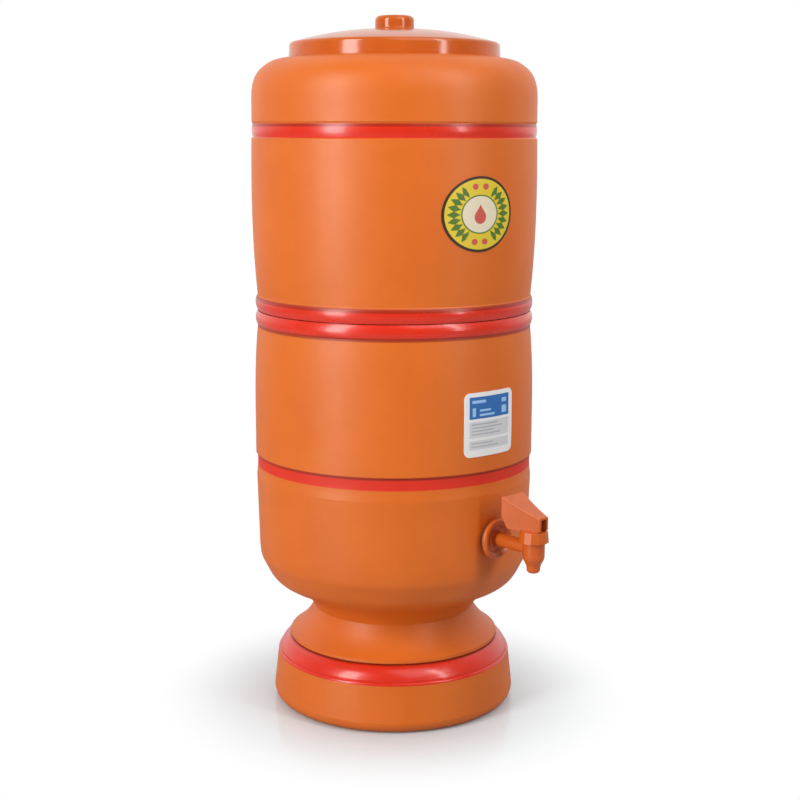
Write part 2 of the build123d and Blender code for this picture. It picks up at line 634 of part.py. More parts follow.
# The arm hangs: its frame is turned down about the pin. In it, the first number
# runs from the pin to the bulb, the second is square to the arm, upwards.
drop = radians(FLOAT_DROP)
pivot = Vector(0, FLOAT_PIVOT_Y, pivot_z)
along_arm = Vector(0, cos(drop), -sin(drop))
above_arm = Vector(0, sin(drop), cos(drop))
ARM_SIDE = Plane(origin=pivot, x_dir=along_arm, z_dir=(1, 0, 0))
ARM_FACE = Plane(origin=pivot, x_dir=along_arm, z_dir=above_arm)
pad_reach = -FLOAT_PIVOT_Y
arm_end = ARM_LENGTH - BULB_R - CLOSE_GAP
pad_r = NOZZLE_R + PAD_OVER

with BuildPart() as float_arm:
    with BuildSketch(ARM_SIDE):
        Circle(EAR_R)
        with BuildLine():
            Polyline((0, -ARM_T / 2), (0, ARM_T / 2), (arm_end - ARM_POINT, ARM_T / 2),
                     (arm_end, ARM_T / 2 - BEVEL), (arm_end, -ARM_T / 2 + BEVEL),
                     (arm_end - ARM_POINT, -ARM_T / 2), close=True)
        make_face()
        Circle(FLOAT_PIN_R + RUNNING_GAP, mode=Mode.SUBTRACT)
    extrude(amount=ARM_W / 2, both=True)
    with BuildSketch(ARM_FACE.offset(-ARM_T / 2)):
        with Locations((pad_reach, 0)):
            Circle(pad_r + PAD_CUP_WALL)
    extrude(amount=ARM_T)
    with BuildSketch(ARM_FACE.offset(ARM_T / 2 - PAD_CUP_D)):
        with Locations((pad_reach, 0)):
            Circle(pad_r)
    extrude(amount=CUT_PAST, mode=Mode.SUBTRACT)
float_arm.part.label = "float_arm"
export_step(float_arm.part, "parts/float_arm.step")

# Rubber pad that closes the nozzle when the float rises.
with BuildPart() as float_pad:
    with BuildSketch(ARM_FACE.offset(ARM_T / 2 - PAD_CUP_D)):
        with Locations((pad_reach, 0)):
            Circle(pad_r - CLOSE_GAP)
    extrude(amount=PAD_T + PAD_CUP_D)
float_pad.part.label = "float_pad"
export_step(float_pad.part, "parts/float_pad.step")

# Float bulb.
with BuildPart() as float_bulb:
    with BuildSketch(ARM_FACE.offset(-BULB_H / 2)):
        with Locations((ARM_LENGTH, 0)):
            Circle(BULB_R)
    extrude(amount=BULB_H)
    fillet(float_bulb.edges(), radius=BULB_ROLL)
float_bulb.part.label = "float_bulb"
export_step(float_bulb.part, "parts/float_bulb.step")

# ---------------------------------------------------------------- tap

# Tap moulding: shank, dished flange, pipe, barrel and spout in one.
with BuildPart() as tap_body:
    rim_u = FLANGE_U + FLANGE_ROLL
    with BuildSketch(TAP_SIDE):
        with BuildLine():
            roll_mid = (rim_u, TAP_Z + FLANGE_R)
            roll_start = (FLANGE_U, TAP_Z + FLANGE_R - FLANGE_ROLL)
            roll_end = (rim_u + FLANGE_ROLL, TAP_Z + FLANGE_R - FLANGE_ROLL)
            rim_in = TAP_Z + FLANGE_R - FLANGE_ROLL * 2
            dish_edge = (FLANGE_U + DISH_T + DISH_RISE, rim_in - FLANGE_RIM_W)
            dish_floor = (FLANGE_U + DISH_T, TAP_Z + PIPE_R + PIPE_FOOT_W)
            pipe_foot = (dish_floor[0] + PIPE_FOOT_H, TAP_Z + PIPE_R)
            Polyline((SHANK_END, TAP_Z), (SHANK_END, TAP_Z + SHANK_R - BEVEL),
                     (SHANK_END + BEVEL, TAP_Z + SHANK_R), (FLANGE_U, TAP_Z + SHANK_R), roll_start)
            ThreePointArc(roll_start, roll_mid, roll_end)
            ThreePointArc(roll_end, between(roll_end, dish_edge, (0.35, 0.5))[0], dish_edge)
            Line(dish_edge, dish_floor)
            ThreePointArc(dish_floor, between(dish_floor, pipe_foot, (0.24, 0.73))[0], pipe_foot)
            Polyline(pipe_foot, (BARREL_REACH, TAP_Z + PIPE_R), (BARREL_REACH, TAP_Z), (SHANK_END, TAP_Z))
        make_face()
    revolve(axis=PIPE_AXIS)
    tip_z = TAP_Z - SPOUT_DROP
    neck_z = CAP_ROOF_Z - CLOSE_GAP
    neck_r = BARREL_R - BARREL_STEP
    step_z = CAP_Z - BARREL_STEP
    with BuildSketch(TAP_SIDE):
        with BuildLine():
            tip_edge = (BARREL_REACH + SPOUT_TIP_R - SPOUT_LIP_W, tip_z)
            tip_side = (BARREL_REACH + SPOUT_TIP_R, tip_z + SPOUT_LIP_H)
            spout_top = (BARREL_REACH + SPOUT_TIP_R + SPOUT_DRAFT, tip_z + SPOUT_H)
            barrel_low = (BARREL_REACH + BARREL_R - BARREL_DRAFT, spout_top[1] + SPOUT_SHOULDER_H)
            barrel_top = (BARREL_REACH + BARREL_R, TAP_Z)
            Line((BARREL_REACH, tip_z), tip_edge)
            ThreePointArc(tip_edge, between(tip_edge, tip_side, (0.7, 0.34))[0], tip_side)
            Spline(tip_side, spout_top, barrel_low, barrel_top, tangents=((0, 1), (0, 1)))
            Polyline(barrel_top, (BARREL_REACH + BARREL_R, step_z),
                     (BARREL_REACH + neck_r, step_z), (BARREL_REACH + neck_r, neck_z),
                     (BARREL_REACH, neck_z), (BARREL_REACH, tip_z))
        make_face()
    revolve(axis=BARREL_AXIS)
    # waterway: pipe bore, valve chamber and outlet
    with BuildSketch(across(SHANK_END)):
        Circle(PIPE_BORE_R)
    extrude(amount=BARREL_REACH - SHANK_END, mode=Mode.SUBTRACT)
    with BuildSketch(TAP_SIDE):
        with BuildLine():
            gutter_z = SEAT_Z - SEAT_STEP
            spout_bore = BARREL_REACH + SPOUT_BORE_R
            seat_edge = spout_bore + SEAT_RING_W
            Polyline((BARREL_REACH, neck_z), (BARREL_REACH + BARREL_BORE_R, neck_z),
                     (BARREL_REACH + BARREL_BORE_R, gutter_z), (seat_edge + SEAT_GUTTER_W, gutter_z),
                     (seat_edge, SEAT_Z), (spout_bore, SEAT_Z), (spout_bore, tip_z),
                     (BARREL_REACH, tip_z), close=True)
        make_face()
    revolve(axis=BARREL_AXIS, mode=Mode.SUBTRACT)
tap_body.part.label = "tap_body"
export_step(tap_body.part, "parts/tap_body.step")


def apron_solid(shift):
    """Round solid with the lower vessel's wall at the tap, moved out by shift."""
    with BuildPart() as solid:
        with BuildSketch(Plane.XZ):
            with BuildLine():
                Polyline((0, BELLY_Z), (BELLY_R + shift, BELLY_Z), (APRON_R + shift, COVE_Z),
                         (0, COVE_Z), close=True)
            make_face()
        revolve(axis=Axis.Z)
    return solid.part


# Rubber gasket between flange and clay, hollowed to the wall.
wall_solid = apron_solid(REST_GAP)
with BuildPart() as tap_outer_gasket:
    with BuildSketch(across(FLANGE_U)):
        Circle(FLANGE_R - TAP_GASKET_INSET)
        Circle(SHANK_R + CLOSE_GAP, mode=Mode.SUBTRACT)
    extrude(amount=-TAP_GASKET_T - CUT_PAST)
    add(wall_solid, mode=Mode.SUBTRACT)
tap_outer_gasket.part.label = "tap_outer_gasket"
export_step(tap_outer_gasket.part, "parts/tap_outer_gasket.step")

# Rubber gasket inside the vessel, rounded to the inner wall.
with BuildPart() as tap_inner_gasket:
    with BuildSketch(Plane.XY.offset(TAP_Z - INNER_GASKET_R - CUT_PAST)):
        Circle(INNER_R - REST_GAP)
    extrude(amount=2 * (INNER_GASKET_R + CUT_PAST))
    with BuildSketch(across(INNER_GASKET_U)):
        Circle(INNER_GASKET_R)
        Circle(SHANK_R + CLOSE_GAP, mode=Mode.SUBTRACT)
    extrude(amount=INNER_GASKET_T + CUT_PAST, mode=Mode.INTERSECT)
tap_inner_gasket.part.label = "tap_inner_gasket"
export_step(tap_inner_gasket.part, "parts/tap_inner_gasket.step")

# Hexagon nut on the shank.
with BuildPart() as tap_nut:
    with BuildSketch(across(TAP_NUT_U)):
        RegularPolygon(TAP_NUT_R, 6)
        Circle(SHANK_R + CLOSE_GAP, mode=Mode.SUBTRACT)
    extrude(amount=TAP_NUT_T)
    chamfer(tap_nut.edges().filter_by(GeomType.LINE).group_by(Axis.Y)[-1], length=TAP_NUT_BEVEL)
tap_nut.part.label = "tap_nut"
export_step(tap_nut.part, "parts/tap_nut.step")

# Cap screwed over the barrel: flats outside, spring seat and stem guide inside.
with BuildPart() as tap_bonnet:
    cap_r = BARREL_R + CAP_OVER
    guide_r = TAP_STEM_R + GUIDE_WALL
    with BuildSketch(Plane.XY.offset(CAP_Z)):
        with Locations((0, -BARREL_REACH)):
            RegularPolygon(cap_r, CAP_SIDE_COUNT)
    with BuildSketch(Plane.XY.offset(CAP_TOP_Z)):
        with Locations((0, -BARREL_REACH)):
            RegularPolygon(cap_r - CAP_TAPER, CAP_SIDE_COUNT)
    loft()
    fillet(tap_bonnet.edges().group_by(Axis.Z)[-1], radius=CAP_ROUND)
    with BuildSketch(TAP_SIDE):
        with BuildLine():
            Polyline((BARREL_REACH, CAP_Z), (BARREL_REACH + neck_r + CLOSE_GAP, CAP_Z),
                     (BARREL_REACH + neck_r + CLOSE_GAP, CAP_ROOF_Z), (BARREL_REACH + guide_r, CAP_ROOF_Z),
                     (BARREL_REACH + guide_r, CAP_ROOF_Z - GUIDE_H),
                     (BARREL_REACH + TAP_STEM_R + RUNNING_GAP, CAP_ROOF_Z - GUIDE_H),
                     (BARREL_REACH + TAP_STEM_R + RUNNING_GAP, CAP_TOP_Z), (BARREL_REACH, CAP_TOP_Z),
                     close=True)
        make_face()
    revolve(axis=BARREL_AXIS, mode=Mode.SUBTRACT)
tap_bonnet.part.label = "tap_bonnet"
export_step(tap_bonnet.part, "parts/tap_bonnet.step")

# Stem: eye for the lever's pin, rod, and disc that carries the seal.
with BuildPart() as tap_stem:
    with BuildSketch(TAP_SIDE):
        with BuildLine():
            post_z = PLUNGER_Z - SEAL_T + SEAL_LIP
            Polyline((BARREL_REACH, post_z), (BARREL_REACH + SEAL_POST_R, post_z),
                     (BARREL_REACH + SEAL_POST_R, PLUNGER_Z), (BARREL_REACH + PLUNGER_R, PLUNGER_Z),
                     (BARREL_REACH + PLUNGER_R, PLUNGER_Z + PLUNGER_T),
                     (BARREL_REACH + TAP_STEM_R, PLUNGER_Z + PLUNGER_T),
                     (BARREL_REACH + TAP_STEM_R, PIN_Z), (BARREL_REACH, PIN_Z), close=True)
        make_face()
    revolve(axis=BARREL_AXIS)
    with BuildSketch(TAP_SIDE):
        with Locations((BARREL_REACH, PIN_Z)):
            Circle(PIN_R + EYE_WALL)
    extrude(amount=SLOT_HALF_W - CLOSE_GAP, both=True)
    with BuildSketch(TAP_SIDE):
        with Locations((BARREL_REACH, PIN_Z)):
            Circle(PIN_R + RUNNING_GAP)
    extrude(amount=SLOT_HALF_W, both=True, mode=Mode.SUBTRACT)
tap_stem.part.label = "tap_stem"
export_step(tap_stem.part, "parts/tap_stem.step")

# Rubber seal under the stem's disc.
with BuildPart() as tap_seal:
    with BuildSketch(Plane.XY.offset(PLUNGER_Z - SEAL_T)):
        with Locations((0, -BARREL_REACH)):
            Circle(SEAL_R)
            Circle(SEAL_POST_R + CLOSE_GAP, mode=Mode.SUBTRACT)
    extrude(amount=SEAL_T)
tap_seal.part.label = "tap_seal"
export_step(tap_seal.part, "parts/tap_seal.step")

# Spring between the stem's disc and the cap's roof.
with BuildPart() as tap_spring:
    coil_low = PLUNGER_Z + PLUNGER_T + SPRING_WIRE_R
    coil_h = CAP_ROOF_Z - SPRING_WIRE_R - coil_low
    with BuildLine():
        coil = Helix(pitch=coil_h / SPRING_TURNS, height=coil_h, radius=PLUNGER_R - SPRING_INSET,
                     center=(0, -BARREL_REACH, coil_low))
    with BuildSketch(Plane(origin=coil @ 0, z_dir=coil % 0)):
        RegularPolygon(SPRING_WIRE_R, 8)
    sweep(is_frenet=True)
tap_spring.part.label = "tap_spring"
export_step(tap_spring.part, "parts/tap_spring.step")

# Pin that joins lever and stem.
with BuildPart() as tap_pin:
    with BuildSketch(TAP_SIDE):
        with Locations((BARREL_REACH, PIN_Z)):
            Circle(PIN_R)
    extrude(amount=SLOT_HALF_W + PIN_END_H, both=True)
tap_pin.part.label = "tap_pin"
export_step(tap_pin.part, "parts/tap_pin.step")


def cam_point(turn):
    """Point of the lever's heel that touches the cap when the lever has turned.

    The heel is the involute of a circle of radius CAM_RATE about the pin, so the
    pin rises in proportion to the turn.
    """
    height = PIN_RISE - REST_GAP + CAM_RATE * turn
    return (BARREL_REACH + height * sin(turn) + CAM_RATE * cos(turn),
            PIN_Z - height * cos(turn) + CAM_RATE * sin(turn))


def lever_side(skin):
    """Side view of the lever; a skin above zero gives the hollow inside it."""
    heel = [cam_point(radians(OPEN_ANGLE) * i / 6) for i in range(7)]
    foot_z = heel[0][1]
    back_foot_u = LEVER_BACK_U + LEVER_CUT_W
    back_low_z = foot_z + LEVER_CUT_H
    front_top = (LEVER_FRONT_U, PIN_Z + LEVER_FRONT_H)
    back_top = (LEVER_BACK_U, PIN_Z + LEVER_BACK_H)
    middle = ((LEVER_FRONT_U + LEVER_BACK_U) / 2, PIN_Z + LEVER_MID_H)
    if skin == 0:
        Line((back_foot_u, foot_z), heel[0])
        Spline(*heel, tangents=((1, 0), (cos(radians(OPEN_ANGLE)), sin(radians(OPEN_ANGLE)))))
        Line(heel[-1], front_top)
        ThreePointArc(front_top, middle, back_top)
        Polyline(back_top, (LEVER_BACK_U, back_low_z), (back_foot_u, foot_z))
    else:
        open_u = LEVER_FRONT_U + CUT_PAST
        open_z = foot_z - CUT_PAST
        slope_u = back_foot_u + skin * 1.2
        roof_front = (open_u, front_top[1] - skin * 1.6)
        roof_back = (LEVER_BACK_U + skin, back_top[1] - skin * 1.5)
        Polyline(roof_front, (open_u, open_z), (slope_u, open_z), (slope_u, foot_z),
                 (LEVER_BACK_U + skin, back_low_z), roof_back)
        ThreePointArc(roof_back, (middle[0], middle[1] - skin), roof_front)


def lever_plan(half_front, half_back):
    """Plan of the lever, run on past its front: hollow sides that flare to the back."""
    ahead = -LEVER_FRONT_U - CUT_PAST
    front = (half_front, -LEVER_FRONT_U)
    back = (half_back, -LEVER_BACK_U)
    waist = between(front, back, (0.5, 0.5))[0]
    waist = (waist[0] - LEVER_HOLLOW_W, waist[1])
    Polyline((-front[0], front[1]), (-half_front, ahead), (half_front, ahead), front)
    ThreePointArc(front, waist, back)
    Line(back, (-back[0], back[1]))
    ThreePointArc((-back[0], back[1]), (-waist[0], waist[1]), (-front[0], front[1]))


LEVER_FRONT_U = cam_point(radians(OPEN_ANGLE))[0]
LEVER_BACK_U = BARREL_REACH - LEVER_BACK
lever_top_z = PIN_Z + LEVER_BACK_H

with BuildPart() as lever_hollow:
    with BuildSketch(TAP_SIDE):
        with BuildLine():
            lever_side(LEVER_SKIN)
        make_face()
    extrude(amount=LEVER_BACK_HALF_W, both=True)
    with BuildSketch(Plane.XY.offset(CAP_Z)):
        with BuildLine():
            lever_plan(SLOT_HALF_W, LEVER_BACK_HALF_W - LEVER_SKIN)
        make_face()
    extrude(amount=lever_top_z + CUT_PAST - CAP_Z, mode=Mode.INTERSECT)

# Lever: a hollow wedge open below and in front, with a cam heel on both cheeks and
# a blind boss inside each of them for the pin.
with BuildPart() as tap_lever:
    with BuildSketch(TAP_SIDE):
        with BuildLine():
            lever_side(0)
        make_face()
    extrude(amount=LEVER_BACK_HALF_W, both=True)
    with BuildSketch(Plane.XY.offset(CAP_Z)):
        with BuildLine():
            lever_plan(LEVER_HALF_W, LEVER_BACK_HALF_W)
        make_face()
    extrude(amount=lever_top_z + CUT_PAST - CAP_Z, mode=Mode.INTERSECT)
    top_face = tap_lever.faces().filter_by(GeomType.CYLINDER).sort_by(Axis.Z)[-1]
    fillet(top_face.edges(), radius=LEVER_ROUND)
    add(lever_hollow.part, mode=Mode.SUBTRACT)
    with BuildSketch(TAP_SIDE):
        with Locations((BARREL_REACH, PIN_Z)):
            Circle(PIN_R + PIN_BOSS_WALL)
    extrude(amount=SLOT_HALF_W + PIN_BOSS_H, both=True)
    with BuildSketch(TAP_SIDE):
        with Locations((BARREL_REACH, PIN_Z)):
            Circle(PIN_R + PIN_BOSS_WALL + CLOSE_GAP)
    extrude(amount=SLOT_HALF_W, both=True, mode=Mode.SUBTRACT)
    with BuildSketch(TAP_SIDE):
        with Locations((BARREL_REACH, PIN_Z)):
            Circle(PIN_R + RUNNING_GAP)
    extrude(amount=SLOT_HALF_W + PIN_END_H + CLOSE_GAP, both=True, mode=Mode.SUBTRACT)
tap_lever.part.label = "tap_lever"
export_step(tap_lever.part, "parts/tap_lever.step")

# ---------------------------------------------------------------- labels


def facing(turn, height):
    """Upright plane through the axis, facing out at a turn from the tap."""
    angle = radians(turn)
    return Plane(origin=(0, 0, height), x_dir=(cos(angle), sin(angle), 0),
                 z_dir=(sin(angle), -cos(angle), 0))


def wall_sheet(wall):
    """Turned sheet that lies on a vessel's wall."""
    with BuildPart() as sheet:
        with BuildSketch(Plane.XZ):
            with BuildLine():
                low_out, top_out, _ = wall(LABEL_GAP + LABEL_T)
                low_in, top_in, _ = wall(LABEL_GAP)
                Line(low_in, low_out)
                Line(top_in, top_out)
            make_face()
        revolve(axis=Axis.Z)
    return sheet.part


# Emblem on the upper vessel.
crest_sheet = wall_sheet(upper_wall)
with BuildPart() as crest_label:
    with BuildSketch(facing(CREST_TURN, SEAM_Z + CREST_RISE)):
        Ellipse(CREST_W / 2, CREST_H / 2)
    extrude(amount=VESSEL_R + CUT_PAST)
    add(crest_sheet, mode=Mode.INTERSECT)
crest_label.part.label = "crest_label"
export_step(crest_label.part, "parts/crest_label.step")

# Information label on the lower vessel.
info_sheet = wall_sheet(lower_wall)
with BuildPart() as info_label:
    with BuildSketch(facing(INFO_TURN, COVE_TOP_Z + INFO_RISE)):
        RectangleRounded(INFO_W, INFO_H, INFO_CORNER)
    extrude(amount=VESSEL_R + CUT_PAST)
    add(info_sheet, mode=Mode.INTERSECT)
info_label.part.label = "info_label"
export_step(info_label.part, "parts/info_label.step")
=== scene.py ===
from math import atan2, cos, radians, sin, tau

import bpy
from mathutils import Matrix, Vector


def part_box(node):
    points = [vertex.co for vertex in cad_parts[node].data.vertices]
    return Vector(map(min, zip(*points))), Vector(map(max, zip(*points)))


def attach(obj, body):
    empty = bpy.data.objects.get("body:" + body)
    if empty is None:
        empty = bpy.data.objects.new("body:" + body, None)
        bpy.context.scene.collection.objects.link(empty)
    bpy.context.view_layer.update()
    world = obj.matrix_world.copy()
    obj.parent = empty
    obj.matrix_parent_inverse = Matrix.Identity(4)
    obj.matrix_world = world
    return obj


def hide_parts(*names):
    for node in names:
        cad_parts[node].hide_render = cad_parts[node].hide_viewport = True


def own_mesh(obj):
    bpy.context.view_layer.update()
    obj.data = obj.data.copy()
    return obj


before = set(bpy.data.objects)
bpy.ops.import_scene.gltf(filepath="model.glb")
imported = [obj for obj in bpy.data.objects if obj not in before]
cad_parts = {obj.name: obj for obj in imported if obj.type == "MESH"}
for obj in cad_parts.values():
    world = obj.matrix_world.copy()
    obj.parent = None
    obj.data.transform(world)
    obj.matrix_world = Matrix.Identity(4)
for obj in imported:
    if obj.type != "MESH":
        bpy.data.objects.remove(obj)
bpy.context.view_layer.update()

# Gravity water filter with tap: looks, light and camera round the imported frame.
# Metres, +Z up, origin on the vessels' axis at floor level, tap towards -Y.

# ---------------------------------------------------------------- places from the frame

NECK_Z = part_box("lower_chamber")[0].z
SEAM_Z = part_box("lower_chamber")[1].z
MOUTH_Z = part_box("upper_chamber")[1].z
VESSEL_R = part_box("upper_chamber")[1].x

# Red bands and strips of painted shade in the grooves beside them, as (low edge, high edge) above the floor
GLOSSY_BANDS = (
    (NECK_Z - 0.0390, NECK_Z - 0.0254),
    (SEAM_Z - 0.0108, SEAM_Z + 0.0106),
    (MOUTH_Z - 0.0604, MOUTH_Z - 0.0500),
)
MATT_BANDS = ((SEAM_Z - 0.1232, SEAM_Z - 0.1140),)
CREASE_SHADE_LINES = (
    (NECK_Z - 0.0262, NECK_Z - 0.0242),
    (SEAM_Z - 0.1153, SEAM_Z - 0.1128),
    (SEAM_Z - 0.0126, SEAM_Z - 0.0098),
    (SEAM_Z + 0.0086, SEAM_Z + 0.0117),
    (MOUTH_Z - 0.0522, MOUTH_Z - 0.0500),
)
FLOOR_R = 0.073                   # inner floors of the vessels lie inside this radius


def label_place(node):
    """A label's turn round the axis from the tap, height of its middle, half width and half height."""
    turns = [atan2(vertex.co.x, -vertex.co.y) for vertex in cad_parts[node].data.vertices]
    low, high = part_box(node)
    return ((min(turns) + max(turns)) / 2, (low.z + high.z) / 2,
            (max(turns) - min(turns)) / 2 * VESSEL_R, (high.z - low.z) / 2)


# ---------------------------------------------------------------- camera

CAMERA_TURN = radians(43.92)      # round the axis, from the tap's side
CAMERA_DISTANCE = 1.17245
CAMERA_HEIGHT = 0.45588
CAMERA_DOWN = radians(10.222)
CAMERA_ASIDE = radians(0.213)     # aims a little to the right of the axis
CAMERA_ROLL = radians(-0.16)
LENS_MM = 66.61
SENSOR_MM = 36
NEAREST = 0.05                    # nothing closer to the camera is shown


def place_camera():
    """Camera at the height of the upper vessel, looking down at the filter."""
    camera = bpy.data.objects.new("camera", bpy.data.cameras.new("camera"))
    bpy.context.scene.collection.objects.link(camera)
    camera.location = (-CAMERA_DISTANCE * sin(CAMERA_TURN), -CAMERA_DISTANCE * cos(CAMERA_TURN),
                       CAMERA_HEIGHT)
    camera.rotation_euler = (radians(90) - CAMERA_DOWN, CAMERA_ROLL, -CAMERA_TURN - CAMERA_ASIDE)
    camera.data.lens = LENS_MM
    camera.data.sensor_width = SENSOR_MM
    camera.data.clip_start = NEAREST
    bpy.context.scene.camera = camera


# ---------------------------------------------------------------- node helpers

def fill(tree, node, inputs):
    """Gives a node its inputs by name or number: another node's socket, or a value."""
    for name, value in inputs.items():
        if isinstance(value, bpy.types.NodeSocket):
            tree.links.new(value, node.inputs[name])
        else:
            node.inputs[name].default_value = value


def spaced(inputs):
    """The same inputs, with the spaces of Blender's socket names."""
    return {name.replace("_", " "): value for name, value in inputs.items()}


def add_node(tree, kind, inputs=None, **settings):
    """A shader node with its settings and its inputs."""
    made = tree.nodes.new(kind)
    for name, value in settings.items():
        setattr(made, name, value)
    fill(tree, made, inputs or {})
    return made


def calc(tree, operation, *values, clamp=False):
    """Output of a Math node."""
    made = add_node(tree, "ShaderNodeMath", dict(enumerate(values)), operation=operation, use_clamp=clamp)
    return made.outputs[0]


def off_middle(tree, value, middle):
    """How far a value is from the middle, whichever way."""
    return calc(tree, "ABSOLUTE", calc(tree, "SUBTRACT", value, middle))


def diagonal(tree, x, y):
    """Distance from the middle to the place x, y."""
    squares = calc(tree, "ADD", calc(tree, "MULTIPLY", x, x), calc(tree, "MULTIPLY", y, y))
    return calc(tree, "SQRT", squares)


def split(tree, vector):
    """X, Y and Z of a vector."""
    return add_node(tree, "ShaderNodeSeparateXYZ", {0: vector}).outputs


def place_on(tree):
    """Place on the piece, in metres."""
    return add_node(tree, "ShaderNodeTexCoord").outputs["Object"]


def blend_colour(tree, mask, below, above):
    """Colour that turns from below to above where the mask is 1."""
    return add_node(tree, "ShaderNodeMix", {0: mask, 6: below, 7: above}, data_type="RGBA").outputs[2]


def ramp(tree, value, low, high, out_low=0.0, out_high=1.0):
    """Value taken from low..high to out_low..out_high with a smooth step, and held there."""
    made = add_node(tree, "ShaderNodeMapRange",
                    {"Value": value, "From Min": low, "From Max": high,
                     "To Min": out_low, "To Max": out_high},
                    interpolation_type="SMOOTHSTEP")
    return made.outputs["Result"]


def within(tree, value, full, edge):
    """1 where the value is under full, and 0 past edge."""
    return ramp(tree, value, full, edge, 1.0, 0.0)


def start_group(name, inputs, outputs):
    """Shader node group with named sockets: (name, default) and names, all of them numbers."""
    tree = bpy.data.node_groups.new(name, "ShaderNodeTree")
    for label, value in inputs:
        socket = tree.interface.new_socket(label, in_out="INPUT", socket_type="NodeSocketFloat")
        socket.default_value = value
    for label in outputs:
        tree.interface.new_socket(label, in_out="OUTPUT", socket_type="NodeSocketFloat")
    entry = tree.nodes.new("NodeGroupInput").outputs
    leave = tree.nodes.new("NodeGroupOutput")
    return tree, entry, leave


def use_group(tree, group, **inputs):
    """A shader group placed in a material, with this material's own values."""
    return add_node(tree, "ShaderNodeGroup", spaced(inputs), node_tree=group).outputs


# ---------------------------------------------------------------- shared effects

def make_band_group():
    """1 between two heights of the piece, with soft edges."""
    tree, entry, leave = start_group("Height band", [("Low", 0.0), ("High", 1.0), ("Edge", 0.0004)], ["Mask"])
    height = split(tree, place_on(tree))["Z"]
    above = calc(tree, "DIVIDE", calc(tree, "SUBTRACT", height, entry["Low"]), entry["Edge"])
    under = calc(tree, "DIVIDE", calc(tree, "SUBTRACT", entry["High"], height), entry["Edge"])
    inside = calc(tree, "MINIMUM", above, under)
    fill(tree, leave, {"Mask": calc(tree, "ADD", inside, 0.5, clamp=True)})
    return tree


FACES_AXIS = -0.006               # radius times the outward share of a face's normal, below this
FACES_UP = 0.8                    # upward share of the normal
FACES_DOWN = -0.92


def make_raw_side_group():
    """1 on a vessel's inner side: walls that face the axis, inner floors and undersides."""
    tree, entry, leave = start_group("Raw side", [("Floor radius", 0.07)], ["Mask"])
    coord = add_node(tree, "ShaderNodeTexCoord").outputs
    place = split(tree, coord["Object"])
    facing = split(tree, coord["Normal"])
    outwards = calc(tree, "ADD", calc(tree, "MULTIPLY", place["X"], facing["X"]),
                    calc(tree, "MULTIPLY", place["Y"], facing["Y"]))
    wall = calc(tree, "LESS_THAN", outwards, FACES_AXIS)
    near_axis = calc(tree, "LESS_THAN", diagonal(tree, place["X"], place["Y"]), entry["Floor radius"])
    floor = calc(tree, "MULTIPLY", near_axis, calc(tree, "GREATER_THAN", facing["Z"], FACES_UP))
    underside = calc(tree, "LESS_THAN", facing["Z"], FACES_DOWN)
    fill(tree, leave, {"Mask": calc(tree, "MAXIMUM", calc(tree, "MAXIMUM", wall, floor), underside)})
    return tree


def make_grain_group():
    """Two sizes of irregular grain, for colour and for the surface's relief."""
    tree, entry, leave = start_group(
        "Surface grain", [("Cloud size", 0.03), ("Grain size", 0.001), ("Stretch", 1.0)], ["Clouds", "Grain"])
    squash = add_node(tree, "ShaderNodeCombineXYZ", {"X": 1.0, "Y": 1.0, "Z": entry["Stretch"]}).outputs[0]
    spread = add_node(tree, "ShaderNodeVectorMath", {0: place_on(tree), 1: squash},
                      operation="MULTIPLY").outputs[0]
    clouds = add_node(tree, "ShaderNodeTexNoise",
                      {"Vector": spread, "Scale": calc(tree, "DIVIDE", 1.0, entry["Cloud size"]),
                       "Detail": 3.0, "Roughness": 0.55})
    grain = add_node(tree, "ShaderNodeTexNoise",
                     {"Vector": spread, "Scale": calc(tree, "DIVIDE", 1.0, entry["Grain size"]),
                      "Detail": 2.0, "Roughness": 0.6})
    fill(tree, leave, {"Clouds": clouds.outputs["Fac"], "Grain": grain.outputs["Fac"]})
    return tree


SCUFF_SHIFT = (0.03,) * 3
SCUFF_HAIR = 0.012                # width of a scratch, as a share of the cells' size
SCUFF_PATCHES = (0.55, 0.7)       # noise between these begins and fills a rubbed patch


def make_scuff_group():
    """Sparse fine scratches inside rubbed patches, as a mask."""
    tree, entry, leave = start_group("Light scuffs", [("Size", 0.02), ("Amount", 0.5)], ["Mask"])
    place = place_on(tree)
    bend = add_node(tree, "ShaderNodeTexNoise",
                    {"Vector": place, "Scale": calc(tree, "DIVIDE", 0.6, entry["Size"]), "Detail": 1.0})
    bent = add_node(tree, "ShaderNodeVectorMath", {0: place, 1: bend.outputs["Color"], 2: SCUFF_SHIFT},
                    operation="MULTIPLY_ADD").outputs[0]
    hairs = add_node(tree, "ShaderNodeTexVoronoi",
                     {"Vector": bent, "Scale": calc(tree, "DIVIDE", 1.0, entry["Size"])},
                     feature="DISTANCE_TO_EDGE").outputs["Distance"]
    patches = add_node(tree, "ShaderNodeTexNoise",
                       {"Vector": place, "Scale": calc(tree, "DIVIDE", 2.0, entry["Size"]), "Detail": 2.0})
    patchy = ramp(tree, patches.outputs["Fac"], *SCUFF_PATCHES)
    scratches = calc(tree, "MULTIPLY", within(tree, hairs, 0.0, SCUFF_HAIR), patchy)
    fill(tree, leave, {"Mask": calc(tree, "MULTIPLY", scratches, entry["Amount"])})
    return tree


def make_label_place_group():
    """Place on a label wrapped round a vessel: along its width and its height."""
    tree, entry, leave = start_group(
        "Label place", [("Turn", 0.0), ("Radius", 0.11), ("Height", 0.0)], ["Across", "Up"])
    place = split(tree, place_on(tree))
    angle = calc(tree, "ARCTAN2", place["X"], calc(tree, "MULTIPLY", place["Y"], -1.0))
    turned = calc(tree, "SUBTRACT", angle, entry["Turn"])
    fill(tree, leave, {"Across": calc(tree, "MULTIPLY", turned, entry["Radius"]),
                       "Up": calc(tree, "SUBTRACT", place["Z"], entry["Height"])})
    return tree


